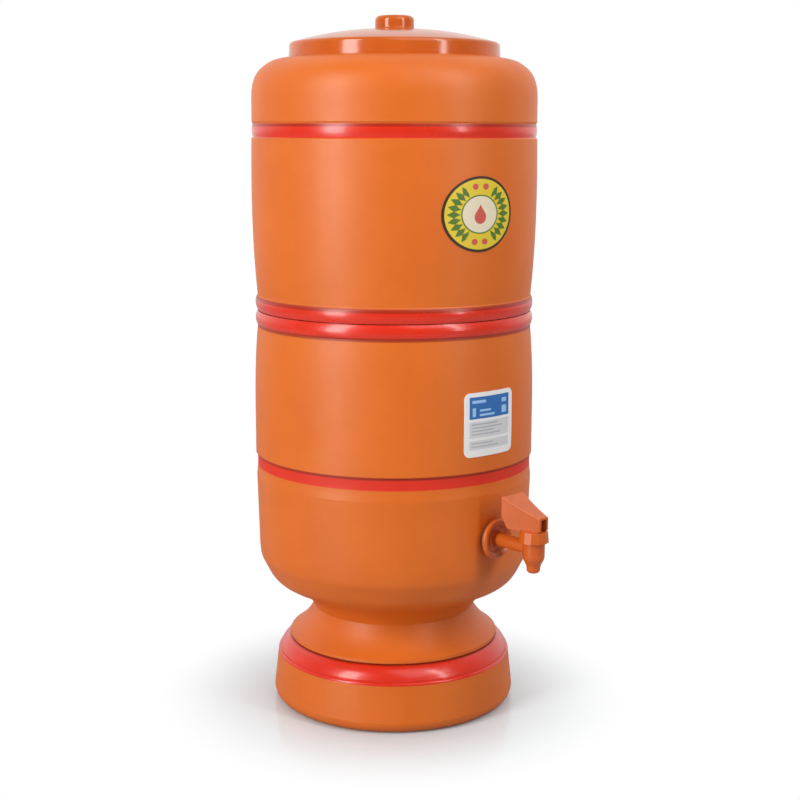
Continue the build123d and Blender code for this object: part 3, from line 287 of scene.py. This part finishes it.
PRINT_EDGE = 0.0002               # soft edge of what is printed on a label


def make_block_group():
    """Printed block with rounded corners, given by its middle and half sizes."""
    tree, entry, leave = start_group(
        "Printed block",
        [("Across", 0.0), ("Up", 0.0), ("Middle across", 0.0), ("Middle up", 0.0),
         ("Half width", 0.01), ("Half height", 0.01), ("Corner", 0.001)],
        ["Mask"])

    def past_straight(value, middle, half):
        """How far a place is past the straight part of the block's side."""
        straight = calc(tree, "SUBTRACT", entry[half], entry["Corner"])
        past = calc(tree, "SUBTRACT", off_middle(tree, entry[value], entry[middle]), straight)
        return calc(tree, "MAXIMUM", past, 0.0)

    corner_reach = diagonal(tree, past_straight("Across", "Middle across", "Half width"),
                          past_straight("Up", "Middle up", "Half height"))
    depth = calc(tree, "SUBTRACT", entry["Corner"], corner_reach)
    fill(tree, leave, {"Mask": calc(tree, "MULTIPLY_ADD", depth, 1 / PRINT_EDGE, 0.5, clamp=True)})
    return tree


HEIGHT_BAND = make_band_group()
RAW_SIDE = make_raw_side_group()
SURFACE_GRAIN = make_grain_group()
LIGHT_SCUFFS = make_scuff_group()
LABEL_PLACE = make_label_place_group()
PRINTED_BLOCK = make_block_group()


# ---------------------------------------------------------------- finishes

def start_material(name):
    """Material with a plain Principled shader, its tree and that shader."""
    material = bpy.data.materials.new(name)
    material.use_nodes = True
    tree = material.node_tree
    return material, tree, tree.nodes["Principled BSDF"]


def set_shader(tree, shader, **inputs):
    """Sets or links the shader's own sockets."""
    fill(tree, shader, spaced(inputs))


def relief(tree, shader, height, depth):
    """Bump of this depth in metres on the shader."""
    bump = add_node(tree, "ShaderNodeBump", {"Height": height, "Distance": depth, "Strength": 1.0})
    tree.links.new(bump.outputs[0], shader.inputs["Normal"])


CLAY_ORANGE = (0.77, 0.160, 0.011, 1)
CLAY_ORANGE_DEEP = (0.73, 0.146, 0.009, 1)
BAND_RED = (0.80, 0.027, 0.004, 1)
BAND_RED_DEEP = (0.74, 0.022, 0.003, 1)
# Painted shade: dark brown strips in the grooves and creases along the bands
CREASE_SHADE_BROWN = (0.36, 0.018, 0.002, 1)
RAW_CLAY = (0.56, 0.245, 0.125, 1)
RAW_CLAY_PALE = (0.66, 0.34, 0.19, 1)

CLOUD_SIZE = 0.05                 # clouds in the colour coat
CLAY_GRAIN_SIZE = 0.0011
TURNING_SIZE = 0.012              # marks of the potter's wheel, drawn out round the vessels
TURNING_STRETCH = 14.0
TURNING_SHARE = 0.7               # of the relief; the rest is grain
CLAY_RELIEF = 0.00010
PAINT_FILLS = 0.8                 # share of the relief that the glossy paint fills
BAND_EDGE = 0.0007
CREASE_SHADE_EDGE = 0.0008
CREASE_SHADE_COVER = 0.85
SATIN_ROUGHNESS = 0.40
CLOUD_ROUGHNESS = 0.08            # clouds add up to this
BAND_ROUGHNESS = 0.08             # all bands add this
GLOSS = 0.24                      # glossy bands take this off
RAW_ROUGHNESS = 0.9
GLOSS_COAT = 0.35
GLOSS_COAT_ROUGHNESS = 0.10


def any_band(tree, bands, edge):
    """1 between the heights of any of these bands."""
    total = 0.0
    for low, high in bands:
        mask = use_group(tree, HEIGHT_BAND, Low=low, High=high, Edge=edge)["Mask"]
        total = calc(tree, "MAXIMUM", total, mask)
    return total


def clay_finish():
    """Fired clay with a thin satin colour coat and red bands, all but one glossy, painted shade in grooves;
    raw inside.
    """
    material, tree, shader = start_material("Painted clay")
    grain = use_group(tree, SURFACE_GRAIN, Cloud_size=CLOUD_SIZE, Grain_size=CLAY_GRAIN_SIZE)
    turning = use_group(tree, SURFACE_GRAIN, Grain_size=TURNING_SIZE, Stretch=TURNING_STRETCH)
    glossy_bands = any_band(tree, GLOSSY_BANDS, BAND_EDGE)
    bands = calc(tree, "MAXIMUM", glossy_bands, any_band(tree, MATT_BANDS, BAND_EDGE))
    # painted shade in the grooves and creases along the bands
    crease_shade = any_band(tree, CREASE_SHADE_LINES, CREASE_SHADE_EDGE)
    raw = use_group(tree, RAW_SIDE, Floor_radius=FLOOR_R)["Mask"]

    clouds = ramp(tree, grain["Clouds"], 0.3, 0.7)
    orange = blend_colour(tree, clouds, CLAY_ORANGE, CLAY_ORANGE_DEEP)
    red = blend_colour(tree, clouds, BAND_RED, BAND_RED_DEEP)
    painted = blend_colour(tree, bands, orange, red)
    with_crease_shade = blend_colour(tree, calc(tree, "MULTIPLY", crease_shade, CREASE_SHADE_COVER), painted, CREASE_SHADE_BROWN)
    bare = blend_colour(tree, ramp(tree, grain["Grain"], 0.35, 0.65), RAW_CLAY, RAW_CLAY_PALE)
    colour = blend_colour(tree, raw, with_crease_shade, bare)

    satin = calc(tree, "MULTIPLY_ADD", grain["Clouds"], CLOUD_ROUGHNESS, SATIN_ROUGHNESS)
    duller = calc(tree, "MULTIPLY_ADD", bands, BAND_ROUGHNESS, satin)
    coated = calc(tree, "MULTIPLY_ADD", glossy_bands, -GLOSS, duller)
    rough = calc(tree, "MAXIMUM", coated, calc(tree, "MULTIPLY", raw, RAW_ROUGHNESS))
    off_shade_and_raw = calc(tree, "MULTIPLY", calc(tree, "SUBTRACT", 1.0, crease_shade), calc(tree, "SUBTRACT", 1.0, raw))
    coat = calc(tree, "MULTIPLY", calc(tree, "MULTIPLY", glossy_bands, off_shade_and_raw), GLOSS_COAT)
    set_shader(tree, shader, Base_Color=colour, Roughness=rough, Coat_Weight=coat,
               Coat_Roughness=GLOSS_COAT_ROUGHNESS)

    rugged = calc(tree, "MULTIPLY_ADD", glossy_bands, -PAINT_FILLS, 1.0)
    fine = calc(tree, "MULTIPLY_ADD", grain["Grain"], 1 - TURNING_SHARE,
                calc(tree, "MULTIPLY", turning["Grain"], TURNING_SHARE))
    relief(tree, shader, calc(tree, "MULTIPLY", fine, rugged), CLAY_RELIEF)
    return material


LID_ORANGE = (0.63, 0.122, 0.012, 1)
LID_ORANGE_DEEP = (0.59, 0.112, 0.010, 1)
TAP_ORANGE = (0.68, 0.125, 0.012, 1)
TAP_ORANGE_DEEP = (0.63, 0.115, 0.010, 1)
PLAIN_WHITE = (0.80, 0.79, 0.75, 1)
PLAIN_WHITE_DEEP = (0.74, 0.73, 0.69, 1)
FLOAT_BLUE = (0.05, 0.17, 0.50, 1)
FLOAT_BLUE_DEEP = (0.04, 0.14, 0.42, 1)

FLOW_SIZE = 0.02                  # flow clouds in a moulding
PEEL_SIZE = 0.0016                # orange peel of a moulded face
PEEL_RELIEF = 0.00002
SCUFF_SIZE = 0.012


def moulded_plastic(name, colour, deep, roughness, coat=0.0):
    """Moulded plastic: faint flow clouds, fine orange peel and light scuffs."""
    material, tree, shader = start_material(name)
    grain = use_group(tree, SURFACE_GRAIN, Cloud_size=FLOW_SIZE, Grain_size=PEEL_SIZE)
    scuffs = use_group(tree, LIGHT_SCUFFS, Size=SCUFF_SIZE, Amount=0.6)["Mask"]
    flow = blend_colour(tree, ramp(tree, grain["Clouds"], 0.3, 0.7), colour, deep)
    shade = calc(tree, "MULTIPLY_ADD", grain["Clouds"], 0.05, roughness - 0.02)
    rough = calc(tree, "MULTIPLY_ADD", scuffs, 0.2, shade)
    set_shader(tree, shader, Base_Color=flow, Roughness=rough, Coat_Weight=coat, Coat_Roughness=0.04)
    relief(tree, shader, grain["Grain"], PEEL_RELIEF)
    return material


RUBBER_BROWN = (0.045, 0.018, 0.012, 1)
RUBBER_BLOOM = (0.085, 0.04, 0.028, 1)


def rubber_finish():
    """Dark brown rubber with a dull bloom."""
    material, tree, shader = start_material("Brown rubber")
    grain = use_group(tree, SURFACE_GRAIN, Cloud_size=0.006, Grain_size=0.0004)
    colour = blend_colour(tree, grain["Clouds"], RUBBER_BROWN, RUBBER_BLOOM)
    rough = calc(tree, "MULTIPLY_ADD", grain["Grain"], 0.2, 0.6)
    set_shader(tree, shader, Base_Color=colour, Roughness=rough)
    relief(tree, shader, grain["Grain"], 0.00003)
    return material


STEEL_GREY = (0.52, 0.52, 0.53, 1)
STEEL_PALE = (0.68, 0.67, 0.66, 1)
DRAWN_STRETCH = 0.1               # grain of the wire is drawn out along the height


def steel_finish():
    """Drawn stainless wire and pins."""
    material, tree, shader = start_material("Drawn steel")
    grain = use_group(tree, SURFACE_GRAIN, Cloud_size=0.004, Grain_size=0.0003, Stretch=DRAWN_STRETCH)
    colour = blend_colour(tree, grain["Clouds"], STEEL_GREY, STEEL_PALE)
    rough = calc(tree, "MULTIPLY_ADD", grain["Grain"], 0.2, 0.2)
    set_shader(tree, shader, Base_Color=colour, Roughness=rough, Metallic=1.0)
    relief(tree, shader, grain["Grain"], 0.00001)
    return material


CERAMIC_PALE = (0.86, 0.83, 0.76, 1)
CERAMIC_PORE = (0.78, 0.74, 0.66, 1)
CARBON_GREY = (0.05, 0.05, 0.05, 1)
CARBON_PORE = (0.015, 0.015, 0.015, 1)


def porous_finish(name, pale, dark, grain_size, depth):
    """Porous, dull body: fired ceramic or pressed carbon."""
    material, tree, shader = start_material(name)
    grain = use_group(tree, SURFACE_GRAIN, Cloud_size=grain_size * 20, Grain_size=grain_size)
    colour = blend_colour(tree, ramp(tree, grain["Grain"], 0.4, 0.62), dark, pale)
    rough = calc(tree, "MULTIPLY_ADD", grain["Clouds"], 0.2, 0.75)
    set_shader(tree, shader, Base_Color=colour, Roughness=rough)
    relief(tree, shader, grain["Grain"], depth)
    return material


# ---------------------------------------------------------------- printed labels

def print_sheet(tree, shader, colour):
    """Half-matt printed sheet in this colour."""
    grain = use_group(tree, SURFACE_GRAIN, Cloud_size=0.02, Grain_size=0.0006)
    rough = calc(tree, "MULTIPLY_ADD", grain["Clouds"], 0.1, 0.42)
    set_shader(tree, shader, Base_Color=colour, Roughness=rough)
    relief(tree, shader, grain["Grain"], 0.00001)


LABEL_WHITE = (0.90, 0.90, 0.90, 1)
LABEL_BLUE = (0.025, 0.16, 0.48, 1)
LABEL_PALE_BLUE = (0.36, 0.60, 0.90, 1)
LABEL_PALE_GREY = (0.70, 0.71, 0.73, 1)
LABEL_GREY = (0.46, 0.47, 0.50, 1)

# Printed blocks from back to front, in millimetres from the label's middle:
# across, up, width, height and tint
INFO_BLOCKS = (
    (0, 12.75, 41, 16.6, LABEL_BLUE),
    (0, -3.8, 41, 12.5, LABEL_PALE_GREY),
    (0, -15.4, 41, 7, LABEL_PALE_GREY),
    (-11.5, 17.4, 13, 2.2, LABEL_PALE_BLUE),
    (-16.2, 9.6, 3, 6.6, LABEL_PALE_BLUE),
    (-3.5, 7.2, 15, 1.6, LABEL_PALE_BLUE),
    (-5.5, 10.6, 11, 1.6, LABEL_PALE_BLUE),
    (14.6, 16.4, 5.6, 3.2, LABEL_PALE_BLUE),
    (14.6, 9.4, 5.6, 5.6, LABEL_PALE_BLUE),
    (-5.5, 0.3, 26, 1, LABEL_GREY),
    (-3, -2.2, 31, 1, LABEL_GREY),
    (-7.5, -4.7, 22, 1, LABEL_GREY),
    (-4, -7.2, 29, 1, LABEL_GREY),
    (-8, -14.1, 21, 0.9, LABEL_GREY),
    (-5, -16.7, 27, 0.9, LABEL_GREY),
)
MILLIMETRE = 0.001
BLOCK_CORNER = 0.2                # of the shorter side
LARGEST_CORNER = 0.6              # millimetres


def info_finish():
    """Plain information label: white border, blue block, rows of grey bars."""
    material, tree, shader = start_material("Information label")
    turn, middle_z = label_place("info_label")[:2]
    where = use_group(tree, LABEL_PLACE, Turn=turn, Radius=VESSEL_R, Height=middle_z)
    colour = LABEL_WHITE
    for across, up, width, height, tint in INFO_BLOCKS:
        corner = min(BLOCK_CORNER * min(width, height), LARGEST_CORNER)
        block = use_group(tree, PRINTED_BLOCK, Across=where["Across"], Up=where["Up"],
                          Middle_across=across * MILLIMETRE, Middle_up=up * MILLIMETRE,
                          Half_width=width / 2 * MILLIMETRE, Half_height=height / 2 * MILLIMETRE,
                          Corner=corner * MILLIMETRE)["Mask"]
        colour = blend_colour(tree, block, colour, tint)
    print_sheet(tree, shader, colour)
    return material


CREST_BROWN = (0.04, 0.016, 0.006, 1)
CREST_YELLOW = (0.80, 0.60, 0.03, 1)
CREST_GREEN = (0.09, 0.19, 0.02, 1)
CREST_RED = (0.66, 0.10, 0.07, 1)
CREST_CREAM = (0.86, 0.76, 0.55, 1)

# Sizes on the emblem, as shares of its half width and half height. Pairs are the
# places where an edge begins and ends.
LEAVES_AROUND = 26                # of which those at the sides are printed
LEAF_RING = 0.70
LEAF_HALF_LENGTH = 0.18
LEAF_HALF_WIDTH = 0.55            # of the room for one leaf
LEAF_EDGE = (0.9, 1.05)           # of the leaf's own outline
LEAF_SIDES = (0.50, 0.52)         # sideways share of the direction from the middle
BERRIES_AROUND = 16               # of which those above and below are printed
BERRY_RING = 0.74
BERRY_EDGE = (0.075, 0.09)
BERRY_SIDES = (0.44, 0.46)
DISC_EDGE = (0.485, 0.50)
DISC_LINE = 0.5
DISC_LINE_EDGE = (0.012, 0.024)
RIM_EDGE = (0.925, 0.94)
DROP_R = 0.0052                   # metres
DROP_DOWN = 0.0018                # middle of the drop's round end under the emblem's middle
DROP_POINT = 1.9                  # where the narrowing drop would end, in its own radii
DROP_POINT_W = 0.02
DROP_TOP = (1.6, 1.75)
DROP_EDGE = (0.95, 1.05)


def off_step(tree, angle, count):
    """Angle from the middle of the nearest of so many equal steps round the emblem."""
    step = tau / count
    return off_middle(tree, calc(tree, "FLOORED_MODULO", angle, step), step / 2)


def leaf_wreath(tree, angle, sideways, reach):
    """Pointed leaves in a ring, at the emblem's sides."""
    wide = calc(tree, "DIVIDE", off_step(tree, angle, LEAVES_AROUND), tau / LEAVES_AROUND * LEAF_HALF_WIDTH)
    long = calc(tree, "DIVIDE", off_middle(tree, reach, LEAF_RING), LEAF_HALF_LENGTH)
    leaves = within(tree, calc(tree, "ADD", wide, long), *LEAF_EDGE)
    return calc(tree, "MULTIPLY", leaves, ramp(tree, sideways, *LEAF_SIDES))


def berry_pairs(tree, angle, sideways, reach):
    """Round berries in a ring, two above the disc and two below."""
    swing = calc(tree, "MULTIPLY", off_step(tree, angle, BERRIES_AROUND), BERRY_RING)
    berries = within(tree, diagonal(tree, swing, off_middle(tree, reach, BERRY_RING)), *BERRY_EDGE)
    return calc(tree, "MULTIPLY", berries, within(tree, sideways, *BERRY_SIDES))


def water_drop(tree, where):
    """Water drop in the disc: round below, narrowing to a point above."""
    side = calc(tree, "DIVIDE", where["Across"], DROP_R)
    up = calc(tree, "DIVIDE", calc(tree, "ADD", where["Up"], DROP_DOWN), DROP_R)
    half_wide = ramp(tree, up, 0.0, DROP_POINT, 1.0, DROP_POINT_W)
    reach = diagonal(tree, calc(tree, "DIVIDE", side, half_wide), calc(tree, "MINIMUM", up, 0.0))
    return calc(tree, "MULTIPLY", within(tree, reach, *DROP_EDGE), within(tree, up, *DROP_TOP))


def crest_finish():
    """Plain oval emblem: brown rim, yellow field, leaf wreath with berries, a water drop."""
    material, tree, shader = start_material("Oval emblem")
    turn, middle_z, half_wide, half_high = label_place("crest_label")
    where = use_group(tree, LABEL_PLACE, Turn=turn, Radius=VESSEL_R, Height=middle_z)
    across = calc(tree, "DIVIDE", where["Across"], half_wide)
    up = calc(tree, "DIVIDE", where["Up"], half_high)
    reach = diagonal(tree, across, up)
    angle = calc(tree, "ARCTAN2", across, up)
    sideways = calc(tree, "ABSOLUTE", calc(tree, "SINE", angle))
    disc_line = within(tree, off_middle(tree, reach, DISC_LINE), *DISC_LINE_EDGE)

    colour = blend_colour(tree, leaf_wreath(tree, angle, sideways, reach), CREST_YELLOW, CREST_GREEN)
    colour = blend_colour(tree, berry_pairs(tree, angle, sideways, reach), colour, CREST_RED)
    colour = blend_colour(tree, within(tree, reach, *DISC_EDGE), colour, CREST_CREAM)
    colour = blend_colour(tree, disc_line, colour, CREST_GREEN)
    colour = blend_colour(tree, water_drop(tree, where), colour, CREST_RED)
    colour = blend_colour(tree, ramp(tree, reach, *RIM_EDGE), colour, CREST_BROWN)
    print_sheet(tree, shader, colour)
    return material


# ---------------------------------------------------------------- dressing the nodes

def dress(material, *nodes):
    """Gives CAD nodes their finish."""
    for node in nodes:
        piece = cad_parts[node]
        piece.data.materials.clear()
        piece.data.materials.append(material)


def dress_all():
    """Every node's finish."""
    dress(clay_finish(), "lower_chamber", "lower_foot", "upper_chamber")
    dress(moulded_plastic("Glossy lid plastic", LID_ORANGE, LID_ORANGE_DEEP, 0.15, coat=0.1), "lid")
    dress(moulded_plastic("Tap plastic", TAP_ORANGE, TAP_ORANGE_DEEP, 0.30),
          "tap_body", "tap_bonnet", "tap_lever", "tap_nut")
    dress(moulded_plastic("White plastic", PLAIN_WHITE, PLAIN_WHITE_DEEP, 0.38),
          "tap_stem", "candle_base", "candle_washer", "candle_nut", "float_valve_body", "float_arm")
    dress(moulded_plastic("Blue float plastic", FLOAT_BLUE, FLOAT_BLUE_DEEP, 0.34), "float_bulb")
    dress(rubber_finish(), "tap_outer_gasket", "tap_inner_gasket", "tap_seal", "candle_gasket", "float_pad")
    dress(steel_finish(), "tap_spring", "tap_pin", "float_pin")
    dress(porous_finish("Candle ceramic", CERAMIC_PALE, CERAMIC_PORE, 0.0007, 0.00006), "candle_shell")
    dress(porous_finish("Carbon fill", CARBON_GREY, CARBON_PORE, 0.001, 0.0002), "candle_carbon")
    dress(crest_finish(), "crest_label")
    dress(info_finish(), "info_label")


def squeeze_spring():
    """The tap spring as a piece of its own, attached to the lower body."""
    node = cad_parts["tap_spring"]
    spring = bpy.data.objects.new("squeezed_spring", node.data.copy())
    bpy.context.scene.collection.objects.link(spring)
    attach(spring, "lower")
    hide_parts("tap_spring")
    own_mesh(spring)


# ---------------------------------------------------------------- floor and light

FLOOR_HALF = 6.0
FLOOR_CLEAR = 0.0002
FLOOR_SEEN = (0.73, 0.81, 0.84, 1)
FLOOR_BOUNCE = (0.46, 0.46, 0.46, 1)  # what the floor sends back to the vessels
FLOOR_ROUGHNESS = 0.15
SHADOW_REACH = (0.080, 0.20)      # the floor fades to plain white between these radii
WHITE = (1, 1, 1, 1)


def make_floor():
    """Pale floor that keeps the shadow near the foot and fades to white."""
    mesh = bpy.data.meshes.new("floor")
    corners = [(x * FLOOR_HALF, y * FLOOR_HALF, -FLOOR_CLEAR)
               for x, y in ((-1, -1), (1, -1), (1, 1), (-1, 1))]
    mesh.from_pydata(corners, [], [(0, 1, 2, 3)])
    floor = bpy.data.objects.new("floor", mesh)
    bpy.context.scene.collection.objects.link(floor)
    material, tree, shader = start_material("Pale floor")
    reach = add_node(tree, "ShaderNodeVectorMath", {0: place_on(tree)}, operation="LENGTH").outputs["Value"]
    seen = add_node(tree, "ShaderNodeLightPath").outputs["Is Camera Ray"]
    fade = calc(tree, "MULTIPLY", ramp(tree, reach, *SHADOW_REACH), seen)
    plain = add_node(tree, "ShaderNodeEmission", {"Color": WHITE, "Strength": 1.0}).outputs[0]
    set_shader(tree, shader, Base_Color=blend_colour(tree, seen, FLOOR_BOUNCE, FLOOR_SEEN),
               Roughness=FLOOR_ROUGHNESS)
    mixed = add_node(tree, "ShaderNodeMixShader", {0: fade, 1: shader.outputs[0], 2: plain}).outputs[0]
    fill(tree, tree.nodes["Material Output"], {"Surface": mixed})
    mesh.materials.append(material)


WORLD_LIGHT = 0.16
BACKDROP_LIGHT = 0.95
BACKDROP_RISE = (-0.3, 0.8)       # share of a direction that points away from the camera


def make_world():
    """Dim studio with a bright backdrop behind the filter; white where the camera sees it."""
    world = bpy.data.worlds.new("studio")
    world.use_nodes = True
    tree = world.node_tree
    studio = tree.nodes["Background"]
    direction = add_node(tree, "ShaderNodeTexCoord").outputs["Generated"]
    ahead = (sin(CAMERA_TURN), cos(CAMERA_TURN), 0)
    behind = add_node(tree, "ShaderNodeVectorMath", {0: direction, 1: ahead},
                      operation="DOT_PRODUCT").outputs["Value"]
    strength = ramp(tree, behind, *BACKDROP_RISE, WORLD_LIGHT, BACKDROP_LIGHT)
    fill(tree, studio, {"Color": WHITE, "Strength": strength})
    white = add_node(tree, "ShaderNodeBackground", {"Color": WHITE, "Strength": 1.0}).outputs[0]
    seen = add_node(tree, "ShaderNodeLightPath").outputs["Is Camera Ray"]
    mixed = add_node(tree, "ShaderNodeMixShader", {0: seen, 1: studio.outputs[0], 2: white}).outputs[0]
    fill(tree, tree.nodes["World Output"], {"Surface": mixed})
    bpy.context.scene.world = world


AIM = Vector((0, 0, 0.28))


def softbox(name, turn, height, distance, width, tall, watts):
    """Softbox aimed at the filter: turn is to the camera's right, in degrees round the axis."""
    lamp = bpy.data.lights.new(name, "AREA")
    lamp.shape = "RECTANGLE"
    lamp.size = width
    lamp.size_y = tall
    lamp.energy = watts
    box = bpy.data.objects.new(name, lamp)
    bpy.context.scene.collection.objects.link(box)
    angle = CAMERA_TURN - radians(turn)
    box.location = (-distance * sin(angle), -distance * cos(angle), height)
    box.rotation_euler = (AIM - box.location).to_track_quat("-Z", "Y").to_euler()


def make_lights():
    """Two tall softboxes beside the camera and a wide one overhead."""
    softbox("softbox_left", turn=-47, height=0.8, distance=1.6, width=0.5, tall=1.6, watts=22.5)
    softbox("softbox_right", turn=52, height=0.85, distance=1.15, width=0.14, tall=1.2, watts=5.0)
    softbox("softbox_top", turn=40, height=1.25, distance=0.75, width=1.0, tall=1.0, watts=4.4)


bpy.context.scene.view_settings.view_transform = "Standard"
place_camera()
make_floor()
make_world()
make_lights()
dress_all()
squeeze_spring()
